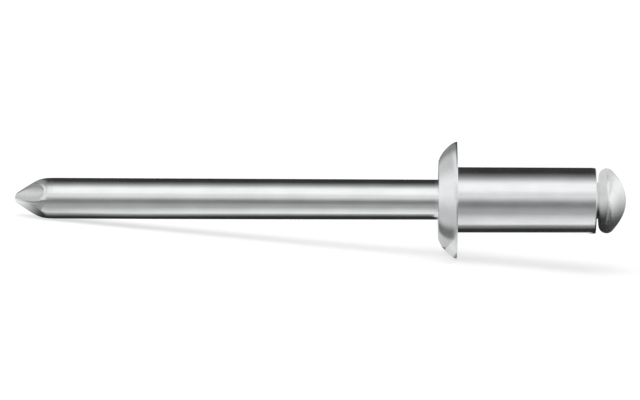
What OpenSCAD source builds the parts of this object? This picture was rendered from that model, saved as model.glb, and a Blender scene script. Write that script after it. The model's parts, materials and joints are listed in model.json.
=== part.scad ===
// Blind rivet before setting: a flanged tubular body on a headed steel mandrel.
// Sizes are in millimetres. Each piece is drawn round its own z axis, with zero
// at the seat under the flange, and lie_down() lays the rivet on the floor.

/* [Rivet body] */
// Outer diameter of the tubular body, which sets the hole that it is made for
body_d = 4.8; // [4.2:0.05:5.8]
// Length of the body from the seat under the flange to its open end
body_l = 10.1; // [5:0.1:25]
// Radial gap between the mandrel and the bore of the body
bore_gap = 0.03; // [0.02:0.01:0.1]
// Chamfer round the open end of the body
end_chamfer = 0.05; // [0.02:0.01:0.2]

/* [Crimp] */
// Depth of the groove in the mandrel that the body is crimped into
crimp_depth = 0.17; // [0.05:0.01:0.2]
// Length of that groove along the axis
crimp_l = 0.9; // [0.7:0.05:2]
// How far behind the front face of the flange the groove begins
crimp_inset = 0.05; // [0:0.01:0.15]

/* [Flange] */
// Diameter of the flange
flange_d = 8.5; // [7:0.1:12]
// Height of the flange from its seat to its flat front face
flange_h = 1.35; // [0.9:0.05:2.5]
// Radial width of the rounded edge between the front face and the rim
flange_edge_w = 1.4; // [0.8:0.05:2]
// How far the rounded edge bulges out from a straight chamfer
flange_bulge = 0.195; // [0.02:0.005:0.3]
// Thickness of the thin rim
rim_t = 0.1; // [0.05:0.01:0.3]
// Width of the flat ring under the rim that bears on the work
seat_w = 0.45; // [0.2:0.05:0.6]
// Depth of the shallow dish between that ring and the body
dish_depth = 0.12; // [0.02:0.01:0.3]
// Radius of the fillet between the dish and the body
root_r = 0.15; // [0.05:0.01:0.3]

/* [Mandrel] */
// Diameter of the mandrel
mandrel_d = 2.97; // [2.4:0.01:3.6]
// Length of the mandrel that stands out of the flange, to its tip
mandrel_out = 30.85; // [20:0.05:60]
// Depth of the thinned neck where the mandrel breaks, below its full radius
neck_depth = 0.165; // [0.05:0.005:0.5]
// Length of the neck below the head
neck_l = 0.8; // [0.3:0.05:2]
// Length of the taper from the neck to the full mandrel
neck_taper_l = 0.35; // [0.1:0.05:1]

/* [Mandrel head] */
// Gap between the open end of the body and the underside of the head
head_gap = 0.21; // [0.02:0.01:0.5]
// How much narrower the head is than the body, so that it passes the same hole
head_relief = 0.06; // [0:0.01:0.4]
// Radius of the round corner of the head
head_corner_r = 0.58; // [0.2:0.01:0.8]
// Angle at which the round corner runs into the crown
crown_angle = 48; // [35:1:65]

/* [Mandrel point] */
// Number of flats left by the pinching cut
flat_count = 4; // [3:1:6]
// Angle between each flat and the axis
flat_angle = 28.4; // [22:0.1:32]
// Angle between the rounded ridges and the axis
ridge_angle = 33.4; // [33:0.1:40]
// Turn of the first flat round the axis, from straight up
flat_turn = 57; // [20:1:70]
// Radius of the blunt tip
tip_r = 0.54; // [0.2:0.01:0.6]
// Radius of the curve between the ridges and the full mandrel
shoulder_r = 2.4; // [0.5:0.1:2.4]

/* [Hidden] */
$fn = 96;
// Steps in which an arc of an outline is drawn, and the crown of the head
curve_steps = 8;
crown_steps = 12;

body_r = body_d / 2;
flange_r = flange_d / 2;
mandrel_r = mandrel_d / 2;
neck_r = mandrel_r - neck_depth;
bore_r = mandrel_r + bore_gap;
crimp_z = crimp_inset - flange_h;

// Head: the crown is a paraboloid that runs on smoothly from the round corner
head_r = (body_d - head_relief) / 2;
head_z = body_l + head_gap;
corner_z = head_z + head_corner_r;
crown_edge_r = head_r - head_corner_r * (1 - cos(crown_angle));
crown_edge_z = corner_z + head_corner_r * sin(crown_angle);
crown_k = 2 * crown_edge_r * tan(crown_angle);
crown_top_z = crown_edge_z + crown_edge_r * crown_edge_r / crown_k;

// Point: the blunt tip, the ridges and the shoulder curve touch without a corner
tip_z = -flange_h - mandrel_out;
tip_centre_z = tip_z + tip_r;
apex_z = tip_centre_z - tip_r / sin(ridge_angle);
shoulder_axis_r = mandrel_r - shoulder_r;
shoulder_z = apex_z + shoulder_r * sin(ridge_angle)
    + (shoulder_axis_r + shoulder_r * cos(ridge_angle)) / tan(ridge_angle);
cutter_w = 4 * mandrel_d;

// Rest: the rim and the shoulder of the mandrel both touch the floor
rest_run = -rim_t - shoulder_z;
rest_rise = flange_r - shoulder_axis_r;
rest_tilt = atan2(rest_rise, rest_run) - asin(shoulder_r / norm([rest_run, rest_rise]));
rest_lift = flange_r * cos(rest_tilt) + rim_t * sin(rest_tilt);
low_x = tip_centre_z * cos(rest_tilt) - tip_r;
high_x = crown_top_z * cos(rest_tilt) + crown_k * pow(sin(rest_tilt), 2) / (4 * cos(rest_tilt));

// Points of an arc about a centre, from one angle to another
function arc(centre, radius, from, to) = [
    for (i = [0 : curve_steps])
        let (angle = from + (to - from) * i / curve_steps)
        centre + radius * [cos(angle), sin(angle)]
];

// Points of the arc that leaves the line from start to end by bulge, on its right
function bulging_arc(start, end, bulge) =
    let (
        chord = end - start,
        half = norm(chord) / 2,
        radius = (half * half + bulge * bulge) / (2 * bulge),
        side = [-chord[1], chord[0]] / norm(chord),
        centre = (start + end) / 2 + side * (radius - bulge),
        middle = atan2(-side[1], -side[0]),
        spread = asin(half / radius)
    )
    arc(centre, radius, middle - spread, middle + spread);

// Points of the crown, from the round corner up to the axis
function crown_points() = [
    for (i = [1 : crown_steps])
        let (r = crown_edge_r * (1 - i / crown_steps))
        [r, crown_top_z - r * r / crown_k]
];

// Points of the crimp in a wall of radius r, with flanks at 45 degrees: the same
// outline is the groove in the mandrel and the ridge in the bore
function crimp(r) = [
    [r, crimp_z],
    [r - crimp_depth, crimp_z + crimp_depth],
    [r - crimp_depth, crimp_z + crimp_l - crimp_depth],
    [r, crimp_z + crimp_l]
];

// Points in the opposite order
function turned_round(points) = [for (i = [len(points) - 1 : -1 : 0]) points[i]];

// Half outline of the body, from the bore out round the flange, up to its end and
// back down the bore
function body_outline() = concat(
    [[bore_r, -flange_h]],
    bulging_arc([flange_r - flange_edge_w, -flange_h], [flange_r, -rim_t], flange_bulge),
    [[flange_r, 0], [flange_r - seat_w, 0]],
    arc([body_r + root_r, root_r - dish_depth], root_r, 270, 180),
    [[body_r, body_l - end_chamfer], [body_r - end_chamfer, body_l], [bore_r, body_l]],
    turned_round(crimp(bore_r))
);

// Half outline of the mandrel, from its tip up to the top of the crown
function mandrel_outline() = concat(
    arc([0, tip_centre_z], tip_r, -90, -ridge_angle),
    arc([shoulder_axis_r, shoulder_z], shoulder_r, -ridge_angle, 0),
    crimp(mandrel_r),
    [
        [mandrel_r, head_z - neck_l - neck_taper_l],
        [neck_r, head_z - neck_l],
        [neck_r, head_z]
    ],
    arc([head_r - head_corner_r, corner_z], head_corner_r, -90, crown_angle),
    crown_points()
);

// Turns and lifts the upright rivet so that it lies with its head end raised
module lie_down() {
    translate([-(low_x + high_x) / 2, 0, rest_lift])
        rotate([0, rest_tilt - 90, 180])
            children();
}

// Everything outside the flats of the point
module outside_flats() {
    for (i = [0 : flat_count - 1])
        rotate([0, 0, flat_turn + i * 360 / flat_count])
            translate([0, 0, apex_z])
                rotate([0, flat_angle, 0])
                    translate([0, -cutter_w / 2, -cutter_w / 2])
                        cube(cutter_w);
}

module rivet_body() {
    color([0.80, 0.81, 0.82])
        lie_down()
            rotate_extrude()
                polygon(body_outline());
}

module mandrel() {
    color([0.72, 0.74, 0.75])
        lie_down()
            difference() {
                rotate_extrude()
                    polygon(mandrel_outline());
                outside_flats();
            }
}

rivet_body();
mandrel();
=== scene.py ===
"""Studio picture of an unset blind rivet that lies on a pale floor.

The rivet is two turned pieces: a tubular aluminium body with a domed flange, and a
steel mandrel with a domed head and a pinched point. Each is drawn upright in
millimetres round its own z axis, with zero at the seat under the flange, then laid
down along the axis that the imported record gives.
"""

import json
import logging
import math
from collections.abc import Callable
from dataclasses import dataclass, field
from enum import Enum

import bpy
from mathutils import Matrix, Vector


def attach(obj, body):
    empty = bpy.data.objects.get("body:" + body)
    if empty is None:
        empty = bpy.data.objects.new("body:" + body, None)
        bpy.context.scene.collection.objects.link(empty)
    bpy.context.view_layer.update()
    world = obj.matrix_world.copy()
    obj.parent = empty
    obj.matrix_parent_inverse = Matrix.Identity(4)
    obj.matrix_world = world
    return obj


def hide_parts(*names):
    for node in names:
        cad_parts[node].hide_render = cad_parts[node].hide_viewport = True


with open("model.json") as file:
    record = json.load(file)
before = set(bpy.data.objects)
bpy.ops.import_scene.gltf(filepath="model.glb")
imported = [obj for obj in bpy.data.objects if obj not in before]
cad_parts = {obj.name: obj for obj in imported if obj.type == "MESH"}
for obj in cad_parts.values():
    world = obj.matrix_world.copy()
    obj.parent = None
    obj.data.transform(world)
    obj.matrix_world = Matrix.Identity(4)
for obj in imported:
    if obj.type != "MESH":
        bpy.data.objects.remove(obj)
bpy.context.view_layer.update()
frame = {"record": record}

MM = 0.001
ROUND_STEPS = 192
MERGE_MM = 1e-4
SMOOTH_DEGREES = 35
CUT_MARK = "cut"
BACK = Vector((0, 1, 0))

log = logging.getLogger("rivet")


class Node(Enum):
    """Names of the CAD nodes that the turned pieces stand for."""

    BODY = "rivet_body"
    MANDREL = "mandrel"


class Slot(Enum):
    """Material slots of the record."""

    BODY = "body_aluminium"
    MANDREL = "mandrel_steel"


def deselect_all() -> None:
    """Leave object mode with nothing selected."""
    if bpy.context.object and bpy.context.object.mode != "OBJECT":
        bpy.ops.object.mode_set(mode="OBJECT")
    bpy.ops.object.select_all(action="DESELECT")


def pick(piece: bpy.types.Object) -> None:
    """Make one object the only selected one, and the active one.

    Args:
        piece: The object to select.
    """
    deselect_all()
    piece.select_set(True)
    bpy.context.view_layer.objects.active = piece


def edit_points(piece: bpy.types.Object, chosen: Callable[[Vector], bool]) -> None:
    """Go into edit mode with only the chosen vertices selected.

    Args:
        piece: The object to edit.
        chosen: Says of a vertex's place whether it is selected.
    """
    pick(piece)
    bpy.ops.object.mode_set(mode="EDIT")
    bpy.ops.mesh.select_mode(type="VERT")
    bpy.ops.mesh.select_all(action="DESELECT")
    bpy.ops.object.mode_set(mode="OBJECT")
    for vertex in piece.data.vertices:
        vertex.select = chosen(vertex.co)
    bpy.ops.object.mode_set(mode="EDIT")


@dataclass(frozen=True)
class RivetAxis:
    """Where the rivet's own axis lies in the frame.

    Attributes:
        seat: Point of the axis at the seat under the flange, in metres.
        along: Unit vector along the axis, towards the head.
    """

    seat: Vector
    along: Vector

    @classmethod
    def from_record(cls, record: dict) -> "RivetAxis":
        """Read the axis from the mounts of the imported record.

        Args:
            record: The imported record.

        Returns:
            The rivet's axis.
        """
        mounts = {mount["name"]: mount for mount in record["mounts"]}
        along = Vector(mounts["hole_shank"]["axis"]).normalized()
        point = Vector(mounts["hole_shank"]["pos_m"])
        seat = Vector(mounts["flange_seat"]["pos_m"])
        return cls(seat=point + along * (seat - point).dot(along), along=along)

    @property
    def up(self) -> Vector:
        """Unit vector square to the axis, in its upright plane."""
        return Vector((-self.along.z, 0, self.along.x))

    @property
    def tilt(self) -> float:
        """Angle between the axis and the floor, in radians."""
        return math.asin(self.along.z)

    def turned(self, along: float, back: float, up: float) -> Vector:
        """Vector in the frame's directions, from one in the rivet's own."""
        return self.along * along + BACK * back + self.up * up

    def point(self, along_mm: float, back_mm: float = 0, up_mm: float = 0) -> Vector:
        """Point at these distances from the seat, in metres."""
        return self.seat + self.turned(along_mm, back_mm, up_mm) * MM

    def laid_down(self) -> Matrix:
        """Matrix that lays an upright piece in millimetres on the axis, in metres."""
        turn = Matrix.Rotation(math.pi / 2 - self.tilt, 4, "Y")
        return Matrix.Translation(self.seat) @ turn @ Matrix.Scale(MM, 4)


@dataclass
class Outline:
    """Half outline of a turned piece, as (radius, height) points in millimetres.

    Attributes:
        points: The points so far.
    """

    points: list[tuple[float, float]] = field(default_factory=list)

    def to(self, radius: float, height: float) -> None:
        """Add the point at this distance from the axis and height above the seat."""
        self.points.append((radius, height))

    def arc(
        self, centre: tuple[float, float], radius: float, start: float, end: float, steps: int
    ) -> None:
        """Add an arc.

        Args:
            centre: Centre of the arc.
            radius: Radius of the arc.
            start: Angle of its first point in degrees, 0 away from the axis.
            end: Angle of its last point in degrees.
            steps: Number of straight steps.
        """
        for step in range(steps + 1):
            angle = math.radians(start + (end - start) * step / steps)
            self.to(centre[0] + radius * math.cos(angle), centre[1] + radius * math.sin(angle))

    def bulge(
        self, start: tuple[float, float], end: tuple[float, float], height: float, steps: int
    ) -> None:
        """Add the arc that leaves the straight line between two points by a height.

        Args:
            start: First point.
            end: Last point.
            height: How far the arc rises to the right of the line.
            steps: Number of straight steps.
        """
        chord = Vector(end) - Vector(start)
        half = chord.length / 2
        radius = (half * half + height * height) / (2 * height)
        side = Vector((-chord.y, chord.x)).normalized()
        centre = (Vector(start) + Vector(end)) / 2 + side * (radius - height)
        middle = math.degrees(math.atan2(-side.y, -side.x))
        spread = math.degrees(math.asin(half / radius))
        self.arc(centre[:], radius, middle - spread, middle + spread, steps)

    def spin(self, name: str, closed: bool) -> bpy.types.Object:
        """Turn the outline round the z axis into a closed mesh.

        Args:
            name: Name of the new object.
            closed: Whether the outline is a ring, as on a tube, and not a path from
                one point of the axis to another.

        Returns:
            The new upright object, in millimetres.
        """
        deselect_all()
        first = Vector((self.points[0][0], 0, self.points[0][1]))
        bpy.ops.mesh.primitive_plane_add(location=first)
        piece = bpy.context.object
        piece.name = piece.data.name = name
        bpy.ops.object.transform_apply(location=True)
        bpy.ops.object.mode_set(mode="EDIT")
        bpy.ops.mesh.select_mode(type="VERT")
        bpy.ops.mesh.select_all(action="SELECT")
        bpy.ops.mesh.merge(type="CENTER")
        path = self.points + self.points[:1] * closed
        for old, new in zip(path, path[1:]):
            step = (new[0] - old[0], 0, new[1] - old[1])
            bpy.ops.mesh.extrude_vertices_move(TRANSFORM_OT_translate={"value": step})
        bpy.ops.mesh.select_all(action="SELECT")
        bpy.ops.mesh.spin(steps=ROUND_STEPS, angle=2 * math.pi, center=(0, 0, 0), axis=(0, 0, 1))
        bpy.ops.mesh.select_all(action="SELECT")
        bpy.ops.mesh.remove_doubles(threshold=MERGE_MM)
        bpy.ops.mesh.normals_make_consistent(inside=False)
        bpy.ops.object.mode_set(mode="OBJECT")
        return piece


def lay_down(piece: bpy.types.Object, axis: RivetAxis) -> None:
    """Put an upright piece in its place, with the place kept in its mesh.

    Args:
        piece: The upright piece, in millimetres.
        axis: The rivet's axis.
    """
    pick(piece)
    piece.matrix_world = axis.laid_down()
    bpy.ops.object.transform_apply(location=True, rotation=True, scale=True)


def smooth(piece: bpy.types.Object) -> None:
    """Shade a piece smooth, with its flat faces kept flat.

    Args:
        piece: The piece to shade.
    """
    pick(piece)
    bpy.ops.object.shade_smooth_by_angle(angle=math.radians(SMOOTH_DEGREES))
    bpy.ops.object.modifier_add(type="WEIGHTED_NORMAL")
    weighted = piece.modifiers[-1]
    weighted.keep_sharp = True
    bpy.ops.object.modifier_apply(modifier=weighted.name)


def only_in_gloss(thing: bpy.types.Object) -> None:
    """Show an object to reflections alone, so that it blocks and tints nothing.

    Args:
        thing: The object.
    """
    thing.visible_camera = False
    thing.visible_diffuse = False
    thing.visible_transmission = False
    thing.visible_volume_scatter = False
    thing.visible_shadow = False


def hand_over(piece: bpy.types.Object, node: Node) -> None:
    """Tell the frame what a finished piece rides on and stands for.

    Args:
        piece: The finished piece.
        node: The CAD node that it replaces.
    """
    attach(piece, "root")
    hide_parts(node.value)
    log.info("%s: %d faces", piece.name, len(piece.data.polygons))


class Signal:
    """A shader socket that takes part in Python sums."""

    def __init__(self, graph: "Graph", socket: bpy.types.NodeSocket) -> None:
        """Wrap a socket of a graph."""
        self.graph = graph
        self.socket = socket

    def __add__(self, other: "Signal | float") -> "Signal":
        """Sum of two values."""
        return self.graph.maths("ADD", self, other)

    def __radd__(self, other: float) -> "Signal":
        """Sum of two values, the number first."""
        return self.graph.maths("ADD", other, self)

    def __sub__(self, other: "Signal | float") -> "Signal":
        """Difference of two values."""
        return self.graph.maths("SUBTRACT", self, other)

    def __rsub__(self, other: float) -> "Signal":
        """Difference of two values, the number first."""
        return self.graph.maths("SUBTRACT", other, self)

    def __mul__(self, other: "Signal | float") -> "Signal":
        """Product of two values."""
        return self.graph.maths("MULTIPLY", self, other)

    def __rmul__(self, other: float) -> "Signal":
        """Product of two values, the number first."""
        return self.graph.maths("MULTIPLY", other, self)


class Graph:
    """Node tree that is built by expressions."""

    def __init__(self, tree: bpy.types.NodeTree) -> None:
        """Start an empty tree."""
        self.tree = tree
        tree.nodes.clear()

    @staticmethod
    def for_material(name: str) -> "tuple[bpy.types.Material, Graph]":
        """Make a material with an empty graph.

        Args:
            name: Name of the material.

        Returns:
            The material and its graph.
        """
        material = bpy.data.materials.new(name)
        material.use_nodes = True
        return material, Graph(material.node_tree)

    def add(self, kind: str, settings: dict | None = None, **sockets: object) -> bpy.types.Node:
        """Add one node.

        Args:
            kind: The node's type.
            settings: Properties of the node, set before its sockets.
            **sockets: Values or signals by socket name, with _ for a space.

        Returns:
            The new node.
        """
        node = self.tree.nodes.new(kind)
        for key, value in (settings or {}).items():
            setattr(node, key, value)
        for key, value in sockets.items():
            self.feed(node, key.replace("_", " "), value)
        return node

    def feed(self, node: bpy.types.Node, key: str | int, value: object) -> None:
        """Set or link one input of a node.

        Args:
            node: The node.
            key: Name or number of the input.
            value: A number, a colour, a signal or a socket.
        """
        if isinstance(value, Signal):
            value = value.socket
        if isinstance(value, bpy.types.NodeSocket):
            self.tree.links.new(value, node.inputs[key])
        else:
            node.inputs[key].default_value = value

    def maths(self, operation: str, *values: "Signal | float") -> Signal:
        """Work out a sum on numbers.

        Args:
            operation: Name of the operation.
            *values: Its values, in order.

        Returns:
            The result.
        """
        node = self.add("ShaderNodeMath", {"operation": operation})
        for number, value in enumerate(values):
            self.feed(node, number, value)
        return Signal(self, node.outputs[0])

    def ease(self, value: Signal, start: float, end: float) -> Signal:
        """Rise smoothly from 0 at start to 1 at end.

        Args:
            value: The value that rises.
            start: Where the result is 0.
            end: Where the result is 1.

        Returns:
            The result, from 0 to 1.
        """
        node = self.add(
            "ShaderNodeMapRange",
            {"interpolation_type": "SMOOTHSTEP"},
            Value=value,
            From_Min=start,
            From_Max=end,
        )
        return Signal(self, node.outputs["Result"])

    def band(self, value: Signal, rise: tuple[float, float], fall: tuple[float, float]) -> Signal:
        """Rise smoothly from 0 to 1 over one pair of values, and fall back over the other."""
        return self.ease(value, *rise) * (1 - self.ease(value, *fall))

    def larger(self, first: "Signal | float", second: "Signal | float") -> Signal:
        """Larger of two values."""
        return self.maths("MAXIMUM", first, second)

    def blend(self, factor: Signal, first: tuple, second: tuple) -> bpy.types.NodeSocket:
        """Blend two colours.

        Args:
            factor: 0 for the first colour and 1 for the second.
            first: The first colour.
            second: The second colour.

        Returns:
            The colour socket.
        """
        node = self.add("ShaderNodeMix", {"data_type": "RGBA"})
        self.feed(node, 0, factor)
        self.feed(node, 6, (*first, 1))
        self.feed(node, 7, (*second, 1))
        return node.outputs[2]

    def mix(self, factor: object, first: bpy.types.Node, second: bpy.types.Node) -> bpy.types.Node:
        """Mix two shaders.

        Args:
            factor: A signal or a socket, 0 for the first shader and 1 for the second.
            first: The first shader.
            second: The second shader.

        Returns:
            The node of the mixed shader.
        """
        node = self.add("ShaderNodeMixShader", Fac=factor)
        self.feed(node, 1, first.outputs[0])
        self.feed(node, 2, second.outputs[0])
        return node

    def output(self, shader: bpy.types.Node) -> None:
        """Make a shader the surface of the material."""
        self.add("ShaderNodeOutputMaterial", Surface=shader.outputs[0])

    def split(self, vector: bpy.types.NodeSocket) -> list[Signal]:
        """Split a vector into its three numbers."""
        node = self.add("ShaderNodeSeparateXYZ", Vector=vector)
        return [Signal(self, output) for output in node.outputs]

    def distance(self, first: Signal, second: Signal) -> Signal:
        """Length of the slanted side over two sides at a right angle."""
        return self.maths("SQRT", first * first + second * second)

    def place(self) -> bpy.types.NodeSocket:
        """Place in the frame, in metres, because every object is at the origin."""
        return self.add("ShaderNodeTexCoord").outputs["Object"]

    def turned_place(self, axis: RivetAxis) -> bpy.types.NodeSocket:
        """Turn the place so that x runs along the rivet's axis.

        Args:
            axis: The rivet's axis.

        Returns:
            The turned place, in metres.
        """
        node = self.add(
            "ShaderNodeMapping",
            {"vector_type": "POINT"},
            Vector=self.place(),
            Rotation=(0, axis.tilt, 0),
        )
        return node.outputs[0]

    def rivet_place(self, axis: RivetAxis) -> tuple[Signal, Signal, Signal]:
        """Work out the place in the rivet's own frame.

        Args:
            axis: The rivet's axis.

        Returns:
            Distances from the seat in millimetres: along the axis, back and up.
        """
        along, back, up = (value * (1 / MM) for value in self.split(self.turned_place(axis)))
        along = along - axis.seat.dot(axis.along) / MM
        return along, back, up - axis.seat.dot(axis.up) / MM

    def angle(self, back: Signal, up: Signal) -> Signal:
        """Angle round the axis in degrees, 0 in front and 90 on top."""
        return self.maths("ARCTAN2", up, -1 * back) * math.degrees(1)

    def seen(self) -> Signal:
        """Tell the rays that see the background from those that light the object.

        Returns:
            1 for rays from the camera, off gloss or through glass, and 0 for others.
        """
        path = self.add("ShaderNodeLightPath")
        camera, glossy, through = (
            Signal(self, path.outputs[f"Is {kind} Ray"])
            for kind in ("Camera", "Glossy", "Transmission")
        )
        return self.larger(self.larger(camera, glossy), through)


@dataclass(frozen=True)
class TurnedMetal:
    """Bright metal that was drawn or headed along the rivet's axis.

    Attributes:
        name: Name of the material.
        pale: Lighter colour of the surface.
        deep: Darker colour of the surface.
        roughness: Lowest and highest roughness.
        line_depth: Strength of the fine drawing lines.
        mottle_depth: Strength of the soft unevenness.
        satin: Stretches of the axis with the duller skin of the forming die, each
            from its start to its end, in millimetres from the seat.
        satin_roughness: Roughness of those stretches.
        satin_metallic: How metallic those stretches look.
        satin_blur: How far the ends of those stretches fade, in millimetres.
        satin_cut: How satin the cut flats are.
        mottle_grain: Grains of the unevenness per millimetre, along, back and up.
        line_grain: Grains of the drawing lines.
        fine_grain: Grains of the finest texture.
        fine_depth: Strength of the finest texture.
        bump_strength: Strength of the bump as a whole.
        bump_height: Height of the bump, in millimetres.
    """

    name: str
    pale: tuple[float, float, float]
    deep: tuple[float, float, float]
    roughness: tuple[float, float]
    line_depth: float
    mottle_depth: float
    satin: tuple[tuple[float, float], ...]
    satin_roughness: float = 0.3
    satin_metallic: float = 0.93
    satin_blur: float = 0.1
    satin_cut: float = 0.2
    mottle_grain: tuple[float, float, float] = (0.5, 0.9, 0.9)
    line_grain: tuple[float, float, float] = (0.25, 14, 14)
    fine_grain: tuple[float, float, float] = (9, 16, 16)
    fine_depth: float = 0.15
    bump_strength: float = 0.35
    bump_height: float = 0.004

    def is_satin(self, graph: Graph, axis: RivetAxis) -> Signal:
        """Tell the satin stretches and cut flats from the bright surface.

        Args:
            graph: The graph to add to.
            axis: The rivet's axis.

        Returns:
            1 on satin metal and 0 elsewhere.
        """
        blur = self.satin_blur
        station = graph.rivet_place(axis)[0]
        total = 0.0
        for start, end in self.satin:
            begun = graph.ease(station, start - blur, start + blur)
            total = total + begun * (1 - graph.ease(station, end - blur, end + blur))
        cut = graph.add("ShaderNodeAttribute", {"attribute_name": CUT_MARK}).outputs["Fac"]
        return graph.larger(total, self.satin_cut * Signal(graph, cut))

    @staticmethod
    def noise(
        graph: Graph, axis: RivetAxis, grains: tuple[float, float, float], detail: float
    ) -> Signal:
        """Noise whose grain follows the rivet's axis.

        Args:
            graph: The graph to add to.
            axis: The rivet's axis.
            grains: Grains per millimetre along the axis, back and up.
            detail: How many finer layers the noise has.

        Returns:
            Noise from 0 to 1.
        """
        stretched = graph.add(
            "ShaderNodeMapping",
            {"vector_type": "POINT"},
            Vector=graph.turned_place(axis),
            Scale=tuple(grain / MM for grain in grains),
        )
        place = stretched.outputs[0]
        node = graph.add("ShaderNodeTexNoise", Vector=place, Scale=1.0, Detail=detail)
        return Signal(graph, node.outputs["Fac"])

    def material(self, axis: RivetAxis) -> bpy.types.Material:
        """Make the material.

        Args:
            axis: The rivet's axis.

        Returns:
            The material.
        """
        material, graph = Graph.for_material(self.name)
        mottle = self.noise(graph, axis, self.mottle_grain, detail=3)
        lines = self.noise(graph, axis, self.line_grain, detail=4)
        fine = self.noise(graph, axis, self.fine_grain, detail=3)
        tone = graph.ease(0.65 * mottle + 0.35 * lines, 0.32, 0.68)
        low, high = self.roughness
        satin = self.is_satin(graph, axis)
        wear = graph.ease(0.5 * mottle + 0.5 * fine, 0.35, 0.65)
        rough = low + (high - low) * wear + (self.satin_roughness - high) * satin
        height = self.line_depth * lines + self.mottle_depth * mottle + self.fine_depth * fine
        bump = graph.add(
            "ShaderNodeBump",
            Strength=self.bump_strength,
            Distance=self.bump_height * MM,
            Height=height,
        )
        surface = graph.add(
            "ShaderNodeBsdfPrincipled",
            Base_Color=graph.blend(tone, self.deep, self.pale),
            Metallic=1 - (1 - self.satin_metallic) * satin,
            Roughness=rough,
            Normal=bump.outputs[0],
        )
        graph.output(surface)
        return material


ALUMINIUM = TurnedMetal(
    name="headed_aluminium",
    pale=(0.84, 0.85, 0.855),
    deep=(0.76, 0.775, 0.785),
    roughness=(0.10, 0.17),
    line_depth=0.5,
    mottle_depth=1.0,
    satin=((-2.0, 0.0),),
    satin_roughness=0.24,
)
STEEL = TurnedMetal(
    name="drawn_steel",
    pale=(0.85, 0.875, 0.87),
    deep=(0.77, 0.795, 0.79),
    roughness=(0.10, 0.16),
    line_depth=1.0,
    mottle_depth=0.6,
    satin=((10.2, 13.0),),
)


@dataclass
class Crimp:
    """Groove in the mandrel that the body is crimped into, with sloped flanks.

    Attributes:
        start: Height at which it begins.
        length: Its length along the axis.
        depth: Its depth.
    """

    start: float = -1.30
    length: float = 0.9
    depth: float = 0.17

    def points(self, radius: float) -> list[tuple[float, float]]:
        """Outline of the crimp in a wall, from its start up.

        Args:
            radius: Radius of the wall.

        Returns:
            Four points of the outline.
        """
        end = self.start + self.length
        floor = radius - self.depth
        return [
            (radius, self.start),
            (floor, self.start + self.depth),
            (floor, end - self.depth),
            (radius, end),
        ]


@dataclass
class RivetBody:
    """The aluminium tube with its domed flange, turned as one piece.

    Attributes:
        radius: Outer radius of the tube.
        length: Length from the seat to the open end.
        bore: Radius of the bore.
        flange_radius: Radius of the flange.
        flange_height: Height of the flange.
        edge_width: Radial width of the flange's rounded edge.
        edge_bulge: How far that edge bulges out from a straight chamfer.
        rim: Thickness of the thin rim.
        seat_width: Width of the flat ring that bears on the work.
        dish: Depth of the dish inside that ring.
        root: Radius of the fillet between the dish and the tube.
        end_round: Radius of the soft edge of the open end.
        mouth_round: Radius of the soft edges of the bore.
        rim_round: Radius of the soft edge between the rim and the seat.
        rings: Distances from both ends of the tube at which it has a ring of points,
            which keep its shading even.
        crimp: The ridge in the bore.
    """

    radius: float = 2.4
    length: float = 10.1
    bore: float = 1.515
    flange_radius: float = 4.25
    flange_height: float = 1.35
    edge_width: float = 1.4
    edge_bulge: float = 0.195
    rim: float = 0.1
    seat_width: float = 0.45
    dish: float = 0.12
    root: float = 0.15
    end_round: float = 0.05
    mouth_round: float = 0.04
    rim_round: float = 0.03
    rings: tuple[float, float] = (0.1, 0.5)
    crimp: Crimp = field(default_factory=Crimp)

    def outline(self) -> Outline:
        """Draw the body, from the mouth of the bore round the flange and back.

        Returns:
            The closed half outline.
        """
        near, far = self.rings
        mouth = self.bore + self.mouth_round
        face = self.flange_radius - self.edge_width
        line = Outline()
        line.arc((mouth, self.mouth_round - self.flange_height), self.mouth_round,
                 180, 270, steps=4)
        line.to(face - near, -self.flange_height)
        line.bulge((face, -self.flange_height), (self.flange_radius, -self.rim),
                   self.edge_bulge, steps=24)
        line.arc((self.flange_radius - self.rim_round, -self.rim_round), self.rim_round,
                 0, 90, steps=4)
        line.to(self.flange_radius - self.seat_width, 0)
        line.arc((self.radius + self.root, self.root - self.dish), self.root,
                 270, 180, steps=8)
        for height in (near, far, self.length - far, self.length - near):
            line.to(self.radius, height)
        line.arc((self.radius - self.end_round, self.length - self.end_round),
                 self.end_round, 0, 90, steps=6)
        line.arc((mouth, self.length - self.mouth_round), self.mouth_round, 90, 180, steps=4)
        for radius, height in reversed(self.crimp.points(self.bore)):
            line.to(radius, height)
        return line

    def build(self, axis: RivetAxis) -> None:
        """Model, place and dress the body.

        Args:
            axis: The rivet's axis.
        """
        piece = self.outline().spin("body_turned", closed=True)
        lay_down(piece, axis)
        smooth(piece)
        piece.data.materials.append(ALUMINIUM.material(axis))
        hand_over(piece, Node.BODY)


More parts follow.
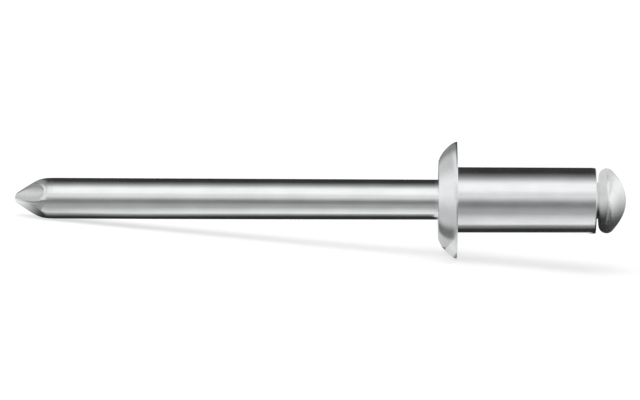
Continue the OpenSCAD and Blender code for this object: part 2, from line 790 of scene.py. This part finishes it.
@dataclass
class Mandrel:
    """The steel pin: domed head, break neck, plain shank and pinched point.

    Attributes:
        radius: Radius of the shank.
        tip: Height of the tip, below the seat.
        tip_round: Radius of the blunt tip.
        ridge_angle: Angle between the ridges of the point and the axis.
        flat_angle: Angle between the flats of the point and the axis.
        flat_turn: Turn of the first flat round the axis, from straight down.
        flat_count: Number of flats.
        shoulder: Radius of the curve between the ridges and the shank.
        neck_depth: Depth of the break neck.
        neck_length: Length of the neck below the head.
        neck_taper: Length of its taper.
        head_radius: Radius of the head.
        head_base: Height of the underside of the head.
        head_corner: Radius of the round corner of the head.
        crown_angle: Angle at which the corner runs into the crown.
        crimp: The groove that the body is crimped into.
        neck_fillet: Radius of the fillet between the neck and the head.
        ring_step: Distance between the rings of points where the shank begins.
        ring_count: Number of those rings, which keep its shading even.
        soft_length: Length of the point whose ridges are softened.
        soft_factor: How far each pass softens them.
        soft_passes: Number of passes.
    """

    radius: float = 1.485
    tip: float = -32.2
    tip_round: float = 0.54
    ridge_angle: float = 33.4
    flat_angle: float = 28.4
    flat_turn: float = 57
    flat_count: int = 4
    shoulder: float = 2.4
    neck_depth: float = 0.165
    neck_length: float = 0.8
    neck_taper: float = 0.35
    head_radius: float = 2.37
    head_base: float = 10.31
    head_corner: float = 0.58
    crown_angle: float = 48
    crimp: Crimp = field(default_factory=Crimp)
    neck_fillet: float = 0.07
    ring_step: float = 0.1
    ring_count: int = 6
    soft_length: float = 2.8
    soft_factor: float = 0.5
    soft_passes: int = 40

    @property
    def apex(self) -> float:
        """Height of the point where the ridges and flats would meet."""
        ridge = math.radians(self.ridge_angle)
        return self.tip + self.tip_round - self.tip_round / math.sin(ridge)

    def point_outline(self, line: Outline) -> float:
        """Draw the tip, the straight ridge and the shoulder.

        Args:
            line: The outline to add to.

        Returns:
            The height at which the full shank begins.
        """
        ridge = math.radians(self.ridge_angle)
        tip_centre = self.tip + self.tip_round
        inner = self.radius - self.shoulder
        end = (self.apex + self.shoulder * math.sin(ridge)
               + (inner + self.shoulder * math.cos(ridge)) / math.tan(ridge))
        line.arc((0, tip_centre), self.tip_round, -90, -self.ridge_angle, steps=16)
        low = Vector(line.points[-1])
        high = Vector((inner + self.shoulder * math.cos(ridge),
                       end - self.shoulder * math.sin(ridge)))
        steps = 20
        for step in range(1, steps):
            line.to(*low.lerp(high, step / steps))
        line.arc((inner, end), self.shoulder, -self.ridge_angle, 0, steps=32)
        return end

    def head_outline(self, line: Outline) -> None:
        """Draw the head, from its underside to the top of the crown.

        Args:
            line: The outline to add to.
        """
        angle = math.radians(self.crown_angle)
        inner = self.head_radius - self.head_corner
        edge = inner + self.head_corner * math.cos(angle)
        curve = 2 * edge * math.tan(angle)
        top = (self.head_base + self.head_corner * (1 + math.sin(angle))
               + edge * edge / curve)
        line.arc((inner, self.head_base + self.head_corner), self.head_corner,
                 -90, self.crown_angle, steps=20)
        steps = 24
        for step in range(1, steps + 1):
            radius = edge * (1 - step / steps)
            line.to(radius, top - radius * radius / curve)

    def outline(self) -> Outline:
        """Draw the mandrel, from its tip to the top of its head.

        Returns:
            The open half outline.
        """
        fillet = self.neck_fillet
        neck = self.radius - self.neck_depth
        line = Outline()
        shank = self.point_outline(line)
        for ring in range(1, self.ring_count + 1):
            line.to(self.radius, shank + self.ring_step * ring)
        for radius, height in self.crimp.points(self.radius):
            line.to(radius, height)
        line.to(self.radius, self.head_base - self.neck_length - self.neck_taper)
        line.to(neck, self.head_base - self.neck_length)
        line.arc((neck + fillet, self.head_base - fillet), fillet, 180, 90, steps=4)
        self.head_outline(line)
        return line

    def press_flats(self, piece: bpy.types.Object) -> None:
        """Press the flats into the point, then soften their ridges.

        Args:
            piece: The upright mandrel.
        """
        tilt = math.radians(self.flat_angle)
        apex = Vector((0, 0, self.apex))
        piece.data.attributes.new(CUT_MARK, "FLOAT", "POINT")
        for number in range(self.flat_count):
            around = math.radians(self.flat_turn + number * 360 / self.flat_count)
            turn = Matrix.Rotation(around, 3, "Z") @ Matrix.Rotation(tilt, 3, "Y")
            outward = turn.col[0]
            edit_points(piece, lambda place: (place - apex).dot(outward) > 0)
            bpy.ops.object.mode_set(mode="OBJECT")
            mark = piece.data.attributes[CUT_MARK]
            for vertex in piece.data.vertices:
                if vertex.select:
                    mark.data[vertex.index].value = 1
            bpy.ops.object.mode_set(mode="EDIT")
            bpy.ops.transform.resize(
                value=(0, 1, 1),
                orient_type="GLOBAL",
                orient_matrix=turn,
                orient_matrix_type="GLOBAL",
                center_override=apex,
            )
            bpy.ops.object.mode_set(mode="OBJECT")
        edit_points(piece, lambda place: place.z < self.tip + self.soft_length)
        bpy.ops.mesh.vertices_smooth(factor=self.soft_factor, repeat=self.soft_passes)
        bpy.ops.object.mode_set(mode="OBJECT")

    def build(self, axis: RivetAxis) -> None:
        """Model, place and dress the mandrel.

        Args:
            axis: The rivet's axis.
        """
        piece = self.outline().spin("mandrel_turned", closed=False)
        self.press_flats(piece)
        lay_down(piece, axis)
        smooth(piece)
        piece.data.materials.append(STEEL.material(axis))
        hand_over(piece, Node.MANDREL)


@dataclass(frozen=True)
class Window:
    """A soft-edged bright band of the light tent.

    Angles are in degrees over the rivet, from the front horizon at 0 through
    straight up at 90 to the back horizon at 180.

    Attributes:
        level: Brightness of the band.
        rise: Where it starts, and where it is full.
        fall: Where it starts to fade, and where it has ended.
    """

    level: float
    rise: tuple[float, float]
    fall: tuple[float, float]


class CardLight:
    """Painted reflections: patterns of brightness that the small glowing sheets by the rivet
    carry.

    Each works from the distances behind and above the rivet's axis, in millimetres.
    """

    @staticmethod
    def flange(graph: Graph, back: Signal, up: Signal) -> Signal:
        """Light before the flange.

        Args:
            graph: The graph to add to.
            back: Distance behind the axis.
            up: Distance above the axis.

        Returns:
            Brightness: high in front, with a dark band below it, low at the back, and
            evened out by the rim.
        """
        angle = graph.angle(back, up)
        top = graph.band(angle, rise=(-150, -100), fall=(70, 100))
        front = graph.band(angle, rise=(-12, 18), fall=(30, 62))
        low = graph.band(-1 * angle, rise=(22, 38), fall=(46, 58))
        above = graph.band(angle, rise=(38, 58), fall=(80, 105))
        before = graph.band(angle, rise=(2, 12), fall=(22, 36))
        by_rim = graph.ease(graph.distance(back, up), 4.6, 5.6)
        rim = (0.3 * above - 0.2 * before + 0.25 * low) * by_rim
        return 0.25 + 0.38 * top + 0.38 * front - 0.45 * low + rim

    @staticmethod
    def corner(graph: Graph, back: Signal, up: Signal) -> Signal:
        """Painted reflection for the gap behind the head: painted shade below, bright above."""
        rise = graph.angle(-1 * graph.maths("ABSOLUTE", back), up)
        return 0.02 + 0.72 * graph.ease(rise, -38, 14)

    @staticmethod
    def crown(graph: Graph, back: Signal, up: Signal) -> Signal:
        """Light before the crown.

        Args:
            graph: The graph to add to.
            back: Distance behind the axis.
            up: Distance above the axis.

        Returns:
            Brightness: dark at the floor, bright above, and a little less on top.
        """
        front = graph.maths("MINIMUM", graph.larger(-1 * back, 0), 2.4)
        rise = graph.ease(up + 0.5 * front, -3.9, 2.8)
        return 0.04 + 1.05 * rise - 0.27 * graph.ease(up, 2.4, 4)

    @staticmethod
    def behind(graph: Graph, back: Signal, up: Signal) -> Signal:
        """Light behind the head: even, and dark at the floor."""
        return 0.05 + 0.65 * graph.ease(up, -2, 1)

    @staticmethod
    def point(graph: Graph, back: Signal, up: Signal) -> Signal:
        """Light before the point, which its upper flat and the ridge below it mirror.

        Args:
            graph: The graph to add to.
            back: Distance behind the axis.
            up: Distance above the axis.

        Returns:
            Brightness: a soft band above, and a fall towards the front below.
        """
        across = 0.625 * up + 0.578 * back - 0.506
        flat = 0.8 - 0.47 * graph.ease(across, 0.5, 1) - 0.2 * (1 - graph.ease(across, 0.1, 0.42))
        ridge = 0.95 - 0.7 * graph.ease(-1 * back, 0.8, 2.5)
        return ridge + (flat - ridge) * graph.ease(up, -0.6, 0.3)


@dataclass(frozen=True)
class PaintedReflectionCard:
    """Small glowing card by the rivet, seen in gloss from its front alone, that paints a
    reflection.

    Attributes:
        name: Name of the card.
        middle: Its middle, in millimetres from the seat: along the axis, back and up.
        facing: The way that its front faces, in the same directions.
        size: Its side, in millimetres.
        light: The pattern that it carries.
    """

    name: str
    middle: tuple[float, float, float]
    facing: tuple[float, float, float]
    size: float
    light: Callable[[Graph, Signal, Signal], Signal]

    def build(self, axis: RivetAxis) -> None:
        """Stand the card up.

        Args:
            axis: The rivet's axis.
        """
        deselect_all()
        bpy.ops.mesh.primitive_plane_add(size=self.size * MM)
        sheet = bpy.context.object
        sheet.name = self.name
        turn = axis.turned(*self.facing).to_track_quat("Z", "Y").to_matrix().to_4x4()
        sheet.matrix_world = Matrix.Translation(axis.point(*self.middle)) @ turn
        bpy.ops.object.transform_apply(location=True, rotation=True, scale=True)
        material, graph = Graph.for_material(self.name)
        _, back, up = graph.rivet_place(axis)
        glow = graph.add("ShaderNodeEmission", Color=self.light(graph, back, up))
        clear = graph.add("ShaderNodeBsdfTransparent")
        far_side = graph.add("ShaderNodeNewGeometry").outputs["Backfacing"]
        graph.output(graph.mix(far_side, glow, clear))
        sheet.data.materials.append(material)
        only_in_gloss(sheet)


@dataclass(frozen=True)
class Lamp:
    """Soft square lamp that faces the rivet and is not seen itself.

    Attributes:
        name: Name of the lamp.
        place: Its place, in metres.
        size: Side of its window, in metres.
        power: Its power in watts.
    """

    name: str
    place: tuple[float, float, float]
    size: float
    power: float

    def build(self) -> None:
        """Hang the lamp."""
        light = bpy.data.lights.new(self.name, "AREA")
        light.size = self.size
        light.energy = self.power
        lamp = bpy.data.objects.new(self.name, light)
        lamp.location = self.place
        lamp.rotation_mode = "QUATERNION"
        lamp.rotation_quaternion = Vector(self.place).to_track_quat("Z", "Y")
        lamp.visible_camera = False
        lamp.visible_glossy = False
        bpy.context.scene.collection.objects.link(lamp)


@dataclass(frozen=True)
class PaintedReflectionSheet:
    """Glowing sheet on the floor round a lit strip before the rivet, seen in gloss alone: it
    paints reflections, with painted shadow under the rivet.

    Attributes:
        size: Side of the sheet, in metres.
        lift: Its height over the floor, in millimetres.
        axis_height: Height of the rivet's axis over the origin, in millimetres.
        axis_rise: How far the axis rises over each millimetre of x.
        black: Brightness of the darkest part of the sheet, its painted shadow and shade.
        grey: How much brighter the sheet before the strip is.
        white: Brightness of the sheet beyond the tip, a painted bright reflection.
    """

    size: float = 0.8
    lift: float = 0.02
    axis_height: float = 3.32
    axis_rise: float = 0.0932
    black: float = 0.03
    grey: float = 0.22
    white: float = 0.95

    def light(self, graph: Graph) -> tuple[Signal, Signal]:
        """Work out where the sheet lies, and the painted reflection that it shows there.

        Args:
            graph: The graph to add to.

        Returns:
            The pattern, 1 on the sheet and 0 on bare floor, and the brightness.
        """
        x, y, _ = (value * (1 / MM) for value in graph.split(graph.place()))
        height = self.axis_height + self.axis_rise * x
        # Painted shadow under the rivet, with a soft front edge and a gap between body and head
        edge = y + 0.028 * x + 1.42 + 0.3 * (1 - graph.ease(x, -19, -12))
        tail = graph.ease(graph.maths("DIVIDE", edge, height), 0, 0.38)
        under = 0.65 * graph.ease(edge, -0.4, 0.2) + 0.35 * tail
        gap = graph.ease(x - 0.3 * graph.ease(y, -0.6, 0.2), 8.5, 8.8)
        gap = gap * (1 - graph.ease(x, 9.8, 10.2))
        under = under * graph.ease(x, -23, -22) * (1 - 0.85 * gap)
        under = under * (1 - graph.ease(y, 2.0, 3.2))
        # Painted dark reflection before the lit strip, and nearer by the tip
        slope = graph.maths("DIVIDE", -1 * y, graph.larger(height, 0.5))
        before = 0.7 * graph.ease(slope, 0.3, 1.7) + 0.3 * graph.ease(slope, 1.2, 5)
        before = before * graph.ease(x, -45, -25)
        by_tip = 0.85 * graph.band(x, rise=(-22.6, -21.8), fall=(-20.5, -20.15))
        before = graph.larger(before, by_tip * graph.ease(y, -0.8, -1.2))
        # Painted white reflection beyond the tip
        tip = (1 - graph.ease(x, -22.7, -20)) * graph.ease(x, -30, -26)
        tip = tip * graph.ease(y, -1.2, -0.4)
        # Painted reflection beyond the head, brighter with the distance from it
        head = graph.ease(x + 0.1 * graph.maths("MINIMUM", y, 0), 20.15, 20.45)
        far = graph.distance(x - 20.5, y - 1)
        head_level = self.black + 0.37 * graph.ease(far, 3, 13) + 0.3 * graph.ease(far, 13, 50)
        cover = graph.larger(graph.larger(graph.larger(under, before), head), tip)
        dark = self.black + self.grey * graph.larger(before - under, 0)
        return cover, dark * (1 - head) * (1 - tip) + head_level * head + self.white * tip

    def build(self) -> None:
        """Lay the glowing sheet that paints reflections and shadow on the floor."""
        deselect_all()
        bpy.ops.mesh.primitive_plane_add(size=self.size, location=(0, 0, self.lift * MM))
        reflection_sheet = bpy.context.object
        reflection_sheet.name = "painted_reflection_sheet"
        bpy.ops.object.transform_apply(location=True)
        material, graph = Graph.for_material("painted_reflection_sheet")
        cover, level = self.light(graph)
        glow = graph.add("ShaderNodeEmission", Color=level)
        clear = graph.add("ShaderNodeBsdfTransparent")
        graph.output(graph.mix(cover, clear, glow))
        reflection_sheet.data.materials.append(material)
        only_in_gloss(reflection_sheet)


@dataclass(frozen=True)
class Studio:
    """Pale floor, soft lamps and the light tent that the metal reflects.

    Attributes:
        floor_size: Side of the square floor, in metres.
        floor_albedo: Colour of the floor.
        floor_lift: Light that the floor adds to what it scatters.
        world_fill: Brightness of the world where it lights things.
        tent_radius: Radius of the tent, in metres.
        windows: Bright bands of the tent.
        reflection_sheet: The glowing sheet on the floor, which paints reflections and shadow.
        reflection_cards: The glowing sheets beside the rivet, which paint reflections.
        lamps: The lamps.
    """

    floor_size: float = 4.0
    floor_albedo: float = 0.42
    floor_lift: float = 0.68
    world_fill: float = 0.25
    tent_radius: float = 0.4
    windows: tuple[Window, ...] = (
        Window(level=0.04, rise=(-80, -70), fall=(200, 210)),
        Window(level=0.22, rise=(-80, -70), fall=(92, 124)),
        Window(level=0.58, rise=(-4, 24), fall=(66, 104)),
        Window(level=0.26, rise=(28, 46), fall=(60, 90)),
    )
    # Glowing sheet that paints reflections and the rivet's shadow, seen in gloss alone
    reflection_sheet: PaintedReflectionSheet = PaintedReflectionSheet()
    # Glowing sheets that paint reflections, and painted shade in the gap behind the head
    reflection_cards: tuple[PaintedReflectionCard, ...] = (
        PaintedReflectionCard("flange_reflection_card", (-1.6, 0, 0), (1, 0, 0), size=14, light=CardLight.flange),
        PaintedReflectionCard("corner_reflection_card", (10.15, 0, 0), (1, 0, 0), size=30, light=CardLight.corner),
        PaintedReflectionCard("crown_reflection_card", (14.5, 0, 0), (-1, 0, 0), size=18, light=CardLight.crown),
        PaintedReflectionCard("back_reflection_card", (18.55, 3.5, 5), (0, -1, -1), size=16, light=CardLight.behind),
        PaintedReflectionCard("point_reflection_card", (-34, 0, 0), (1, 0, 0), size=10, light=CardLight.point),
    )
    lamps: tuple[Lamp, ...] = (
        Lamp("key_lamp", (-0.15, -0.25, 0.55), size=0.5, power=2.0),
        Lamp("top_lamp", (0.1, 0.1, 0.6), size=0.6, power=1.6),
    )

    def floor(self) -> None:
        """Lay the pale floor, which keeps the rivet's shadow."""
        deselect_all()
        bpy.ops.mesh.primitive_plane_add(size=self.floor_size)
        sheet = bpy.context.object
        sheet.name = "floor"
        material, graph = Graph.for_material("pale_floor")
        shade = (self.floor_albedo,) * 3
        matt = graph.add("ShaderNodeBsdfDiffuse", Color=(*shade, 1))
        glow = graph.add("ShaderNodeEmission", Color=self.floor_lift * graph.seen())
        both = graph.add("ShaderNodeAddShader")
        graph.feed(both, 0, matt.outputs[0])
        graph.feed(both, 1, glow.outputs[0])
        graph.output(both)
        sheet.data.materials.append(material)

    def tent_light(self, graph: Graph) -> Signal:
        """Work out the tent's brightness.

        Args:
            graph: The graph to add to.

        Returns:
            Brightness: the windows in the middle, and plainer light at both ends.
        """
        x, y, z = graph.split(graph.place())
        angle = graph.maths("ARCTAN2", z, -1 * y) * math.degrees(1)
        middle = 0.0
        for window in self.windows:
            middle = middle + window.level * graph.band(angle, window.rise, window.fall)
        side = x * (1 / self.tent_radius)
        height = z * (1 / self.tent_radius)
        right = 0.75 + 0.3 * graph.ease(height, 0, 0.25)
        at_end = graph.ease(-1 * side, 0.4, 0.9)
        left = 0.85 - 0.55 * graph.ease(angle, 55, 100) * (1 - at_end)
        far_end = graph.ease(graph.maths("ABSOLUTE", side), 0.5, 0.75)
        to_right = graph.ease(side, 0.14, 0.26) * (1 - far_end)
        to_left = graph.ease(-1 * side, 0.16, 0.36) * (1 - far_end)
        return middle * (1 - to_right - to_left) + right * to_right + left * to_left

    def tent(self) -> None:
        """Hang the light tent round the rivet."""
        deselect_all()
        bpy.ops.mesh.primitive_uv_sphere_add(segments=64, ring_count=32, radius=self.tent_radius)
        dome = bpy.context.object
        dome.name = "light_tent"
        material, graph = Graph.for_material("tent_cloth")
        graph.output(graph.add("ShaderNodeEmission", Color=self.tent_light(graph)))
        dome.data.materials.append(material)
        only_in_gloss(dome)

    def world(self) -> None:
        """Make the world white where it is seen, and a dim fill elsewhere."""
        world = bpy.data.worlds.new("studio")
        world.use_nodes = True
        bpy.context.scene.world = world
        graph = Graph(world.node_tree)
        strength = self.world_fill + (1 - self.world_fill) * graph.seen()
        back = graph.add("ShaderNodeBackground", Strength=strength)
        graph.add("ShaderNodeOutputWorld", Surface=back.outputs[0])

    def build(self, axis: RivetAxis) -> None:
        """Set up the whole studio.

        Args:
            axis: The rivet's axis.
        """
        self.floor()
        self.tent()
        self.reflection_sheet.build()
        for card in self.reflection_cards:
            card.build(axis)
        for lamp in self.lamps:
            lamp.build()
        self.world()
        log.info("studio: %d cards, %d lamps", len(self.reflection_cards), len(self.lamps))


@dataclass
class PhotoCamera:
    """Long-lens camera square to the rivet's axis, rolled so that the rivet is level.

    Attributes:
        frame_width: Width of the picture at the rivet, in millimetres.
        distance: Distance from the rivet, in metres.
        height_angle: Angle above the floor from which it looks, in degrees.
        roll: How far the rivet runs down to the right in the picture, in degrees.
        centre_along: Point of the axis in the middle of the picture, from the seat.
        centre_up: How far above the axis the middle of the picture is.
        sensor: Width of the camera's sensor, in millimetres.
        clip: Nearest and farthest distance that it sees, in metres.
    """

    frame_width: float = 46.59
    distance: float = 0.5
    height_angle: float = 8
    roll: float = 0.27
    centre_along: float = -9.97
    centre_up: float = -0.042
    sensor: float = 36
    clip: tuple[float, float] = (0.01, 20)

    def build(self, axis: RivetAxis) -> None:
        """Place the camera and make it the scene's.

        Args:
            axis: The rivet's axis.
        """
        angle = math.radians(self.height_angle)
        out = axis.up * math.sin(angle) - BACK * math.cos(angle)
        up = axis.up * math.cos(angle) + BACK * math.sin(angle)
        target = axis.point(self.centre_along) + up * self.centre_up * MM
        data = bpy.data.cameras.new("camera")
        data.sensor_width = self.sensor
        data.lens = self.sensor * self.distance / (self.frame_width * MM)
        data.clip_start, data.clip_end = self.clip
        camera = bpy.data.objects.new("camera", data)
        turn = Matrix((axis.along, up, out)).transposed()
        turn = turn @ Matrix.Rotation(math.radians(self.roll), 3, "Z")
        camera.matrix_world = Matrix.Translation(target + out * self.distance) @ turn.to_4x4()
        bpy.context.scene.collection.objects.link(camera)
        bpy.context.scene.camera = camera


def main() -> None:
    """Build the camera, the rivet and the studio."""
    logging.basicConfig(level=logging.INFO, format="%(name)s: %(message)s")
    bpy.context.scene.view_settings.view_transform = "Standard"
    axis = RivetAxis.from_record(frame["record"])
    PhotoCamera().build(axis)
    RivetBody().build(axis)
    Mandrel().build(axis)
    Studio().build(axis)


if __name__ == "__main__":
    main()
